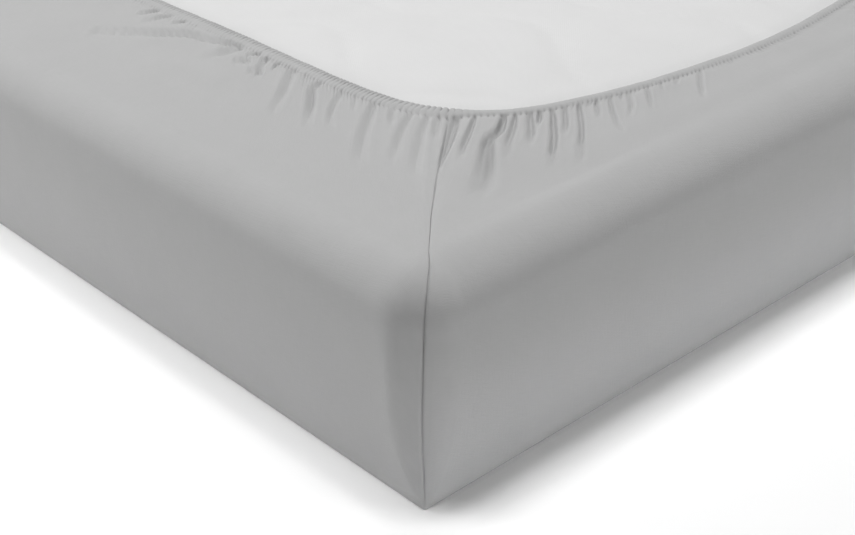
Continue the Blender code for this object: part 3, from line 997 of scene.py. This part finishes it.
def weave_group():
    """Threads over and under each other, with thicker places, as a height and a tone."""
    group = bpy.data.node_groups.new("weave", "ShaderNodeTree")
    for name, default in (("Pitch", 0.00045), ("Slub", 0.5)):
        socket = group.interface.new_socket(name, in_out="INPUT", socket_type="NodeSocketFloat")
        socket.default_value = default
    vector = group.interface.new_socket("Threads", in_out="INPUT", socket_type="NodeSocketVector")
    vector.description = "Place on the cloth in metres"
    for name in ("Height", "Tone"):
        group.interface.new_socket(name, in_out="OUTPUT", socket_type="NodeSocketFloat")
    start = node(group, "NodeGroupInput", (-1200, 0)).outputs
    apart = node(group, "ShaderNodeSeparateXYZ", (-1000, 0), Vector=start["Threads"]).outputs
    waves, streaks = [], []
    for row, axis in enumerate(("X", "Y")):
        turns = sum_node(group, (-800, -200 * row), "DIVIDE", apart[axis], start["Pitch"])
        angle = sum_node(group, (-620, -200 * row), "MULTIPLY", turns, math.pi)
        waves.append(sum_node(group, (-440, -200 * row), "SINE", angle))
        stretch = [SLUB_ALONG, SLUB_ALONG, 1.0]
        stretch[row] = SLUB_ACROSS
        laid = node(group, "ShaderNodeMapping", (-800, -500 - 300 * row), vector_type="POINT",
                    Vector=start["Threads"], Scale=stretch)
        noise = node(group, "ShaderNodeTexNoise", (-600, -500 - 300 * row),
                     noise_dimensions="2D", Vector=laid.outputs[0], Scale=1.0, Detail=1.0)
        streaks.append(noise.outputs[0])
    cross = sum_node(group, (-240, -60), "MULTIPLY", *waves)
    both = sum_node(group, (-380, -600), "ADD", *streaks)
    centred = sum_node(group, (-200, -600), "SUBTRACT", both, 1.0)
    thick = sum_node(group, (0, -500), "MULTIPLY", centred, start["Slub"])
    height = sum_node(group, (200, 0), "MULTIPLY_ADD", cross, WEAVE_HEIGHT, thick)
    tone = sum_node(group, (400, -300), "MULTIPLY_ADD", cross, WEAVE_TONE, thick)
    node(group, "NodeGroupOutput", (900, 0), Height=height, Tone=tone)
    return group


def cloth_finish(name, colour, pitch, slub, bump, tone, roughness, sheen, threads=""):
    """A woven or knitted finish. Its threads follow the UV map of that name, or the object."""
    finish = bpy.data.materials.new(name)
    finish.use_nodes = True
    tree = finish.node_tree
    shader = tree.nodes["Principled BSDF"].inputs
    shader["Roughness"].default_value = roughness
    shader["Sheen Weight"].default_value = sheen
    shader["Sheen Roughness"].default_value = 0.6
    shader["Specular IOR Level"].default_value = 0.25
    place = node(tree, "ShaderNodeTexCoord", (-900, -300)).outputs["Object"]
    laid = place
    if threads:
        laid = node(tree, "ShaderNodeUVMap", (-900, 0), uv_map=threads).outputs["UV"]
    group = bpy.data.node_groups.get("weave") or weave_group()
    weave = node(tree, "ShaderNodeGroup", (-650, 0), node_tree=group, Pitch=pitch, Slub=slub,
                 Threads=laid).outputs
    mottle = node(tree, "ShaderNodeTexNoise", (-650, -300), noise_dimensions="3D", Vector=place,
                  Scale=22.0, Detail=3.0)
    shade = sum_node(tree, (-400, -150), "MULTIPLY_ADD", weave["Tone"], tone, 0.5)
    blend = node(tree, "ShaderNodeMix", (-200, 0), data_type="FLOAT", Factor=0.3, A=shade,
                 B=mottle.outputs[0])
    shades = shade_ramp(tree, (0, 0), blend.outputs[0], colour, 0.10)
    # Painted shade: the colour darkens where the mesh's shade attribute marks folds, gaps, pits
    # and seams.
    painted_shade = node(tree, "ShaderNodeAttribute", (0, 250), attribute_name="painted_shade")
    shaded = node(tree, "ShaderNodeMix", (300, 100), data_type="RGBA", blend_type="MULTIPLY",
                  Factor=painted_shade.outputs["Fac"])
    feed(tree, shaded.inputs[COLOUR_A], shades)
    feed(tree, shaded.inputs[COLOUR_B], (*[DEEPEST_PAINTED_SHADE] * 3, 1.0))
    feed(tree, shader["Base Color"], shaded.outputs[COLOUR_OUT])
    relief = node(tree, "ShaderNodeBump", (0, -400), Strength=bump, Distance=0.0002,
                  Height=weave["Height"])
    feed(tree, shader["Normal"], relief.outputs[0])
    return finish


def add_piece(name, mesh, finish):
    """Link a mesh that has its final shape, with its finish."""
    piece = bpy.data.objects.new(name, mesh)
    mesh.materials.append(finish)
    bpy.context.scene.collection.objects.link(piece)
    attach(piece, "root")
    return piece


class FITTEDSHEET_OT_add_mattress(bpy.types.Operator):
    """Make the plain mattress that the sheet covers"""

    bl_idname = "fitted_sheet.add_mattress"
    bl_label = "Add mattress"

    def execute(self, context):
        sizes = context.scene.mattress_sizes
        finish = cloth_finish("white_knit", sizes.colour, pitch=0.0012, slub=0.6, bump=0.5,
                              tone=0.25, roughness=0.85, sheen=0.05)
        piece = add_piece("mattress_cover", make_block(sizes), finish)
        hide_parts("mattress")
        return {"FINISHED"}


class FITTEDSHEET_OT_add_sheet(bpy.types.Operator):
    """Make the fitted sheet with its gathered hem"""

    bl_idname = "fitted_sheet.add_sheet"
    bl_label = "Add fitted sheet"

    def execute(self, context):
        sizes = context.scene.sheet_sizes
        finish = cloth_finish("grey_percale", sizes.colour, pitch=sizes.thread_pitch, slub=0.8,
                              bump=0.5, tone=0.5, roughness=0.9, sheen=0.08, threads="threads")
        piece = add_piece("fitted_sheet_cloth", make_cloth(sizes), finish)
        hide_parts("fitted_sheet")
        return {"FINISHED"}


def add_lamp(name, power, place, turn, **settings):
    """A light with a flat face that the camera doesn't see."""
    lamp = bpy.data.lights.new(name, "AREA")
    lamp.energy = power
    for setting, value in settings.items():
        setattr(lamp, setting, value)
    light = bpy.data.objects.new(name, lamp)
    light.location = place
    light.rotation_euler = turn
    light.visible_camera = False
    bpy.context.scene.collection.objects.link(light)


def add_light(name, plan, height, size, power):
    """A soft square light that shines on the near corner."""
    plan, height = math.radians(plan), math.radians(height)
    towards = Vector((
        math.cos(plan) * math.cos(height), math.sin(plan) * math.cos(height), math.sin(height)))
    turn = (-towards).to_track_quat("-Z", "Y").to_euler()
    add_lamp(name, power, Vector(LIGHTS_AIM) + towards * LIGHTS_AWAY, turn, size=size)


def add_strip(name, place, facing, width, tall, spread, power):
    """A long low light that shines level on the foot of a wall."""
    turn = (math.radians(90.0), 0.0, math.radians(facing - 90.0))
    add_lamp(name, power, place, turn, shape="RECTANGLE", size=width, size_y=tall,
             spread=math.radians(spread))


def add_backdrop(strength):
    """A world that looks pale and gives no light."""
    world = bpy.data.worlds.new("studio")
    world.use_nodes = True
    tree = world.node_tree
    background = tree.nodes["Background"]
    background.inputs["Color"].default_value = (1.0, 1.0, 1.0, 1.0)
    rays = node(tree, "ShaderNodeLightPath", (-500, 0)).outputs
    seen = sum_node(tree, (-250, 0), "MULTIPLY", rays["Is Camera Ray"], strength)
    feed(tree, background.inputs["Strength"], seen)
    bpy.context.scene.world = world


def floor_finish(colour, glow):
    """A pale matt floor that is lit a little from within."""
    finish = bpy.data.materials.new("pale_floor")
    finish.use_nodes = True
    tree = finish.node_tree
    shader = tree.nodes["Principled BSDF"].inputs
    shader["Roughness"].default_value = 0.7
    shader["Specular IOR Level"].default_value = 0.2
    shader["Emission Color"].default_value = (1.0, 1.0, 1.0, 1.0)
    shader["Emission Strength"].default_value = glow
    place = node(tree, "ShaderNodeTexCoord", (-700, 0)).outputs["Object"]
    noise = node(tree, "ShaderNodeTexNoise", (-500, 0), Vector=place, Scale=3.0)
    shades = shade_ramp(tree, (-250, 0), noise.outputs[0], colour, 0.01)
    feed(tree, shader["Base Color"], shades)
    return finish


def add_floor(colour, glow):
    """A wide floor that the part stands on."""
    tool = bmesh.new()
    bmesh.ops.create_grid(tool, x_segments=8, y_segments=8, size=FLOOR_HALF)
    mesh = bpy.data.meshes.new("floor")
    tool.to_mesh(mesh)
    tool.free()
    mesh.materials.append(floor_finish(colour, glow))
    floor = bpy.data.objects.new("floor", mesh)
    bpy.context.scene.collection.objects.link(floor)


def add_camera():
    """The camera, as the photograph was taken."""
    view = bpy.data.cameras.new("camera")
    view.lens = CAMERA_LENS
    view.sensor_width = CAMERA_SENSOR
    view.clip_start = 0.01
    camera = bpy.data.objects.new("camera", view)
    turn = (Vector(CAMERA_AIM) - Vector(CAMERA_PLACE)).to_track_quat("-Z", "Y")
    camera.matrix_world = (Matrix.Translation(CAMERA_PLACE) @ turn.to_matrix().to_4x4()
                           @ Matrix.Rotation(CAMERA_ROLL, 4, "Z"))
    bpy.context.scene.collection.objects.link(camera)
    bpy.context.scene.camera = camera


class FITTEDSHEET_OT_add_stage(bpy.types.Operator):
    """Make the floor, the lights and the camera"""

    bl_idname = "fitted_sheet.add_stage"
    bl_label = "Add stage"

    def execute(self, context):
        settings = context.scene.stage_settings
        add_floor(settings.floor_colour, settings.floor_glow)
        for add, columns, rows in (
                (add_light, LIGHT_COLUMNS, LIGHTS), (add_strip, STRIP_COLUMNS, STRIPS)):
            for row in rows:
                light = dict(zip(columns, row))
                light["power"] *= settings.power
                add(**light)
        add_backdrop(settings.backdrop)
        add_camera()
        context.scene.view_settings.view_transform = "Standard"
        return {"FINISHED"}


class FITTEDSHEET_PT_panel(bpy.types.Panel):
    """Lists the pieces"""

    bl_idname = "FITTEDSHEET_PT_panel"
    bl_label = "Fitted sheet"
    bl_space_type = "VIEW_3D"
    bl_region_type = "UI"
    bl_category = "Fitted sheet"

    def draw(self, context):
        for name, group in SETTINGS.items():
            box = self.layout.box()
            for item in group.__annotations__:
                box.prop(getattr(context.scene, name), item)
        for operator in OPERATORS:
            self.layout.operator(operator.bl_idname)


SETTINGS = {
    "sheet_sizes": SheetSizes,
    "mattress_sizes": MattressSizes,
    "stage_settings": StageSettings,
}
OPERATORS = (FITTEDSHEET_OT_add_mattress, FITTEDSHEET_OT_add_sheet, FITTEDSHEET_OT_add_stage)
CLASSES = (*SETTINGS.values(), *OPERATORS, FITTEDSHEET_PT_panel)


def register():
    for item in CLASSES:
        bpy.utils.register_class(item)
    for name, group in SETTINGS.items():
        setattr(bpy.types.Scene, name, PointerProperty(type=group))


def unregister():
    for name in SETTINGS:
        delattr(bpy.types.Scene, name)
    for item in reversed(CLASSES):
        bpy.utils.unregister_class(item)


def main():
    register()
    for operator in OPERATORS:
        section, name = operator.bl_idname.split(".")
        getattr(getattr(bpy.ops, section), name)()


if __name__ == "__main__":
    main()
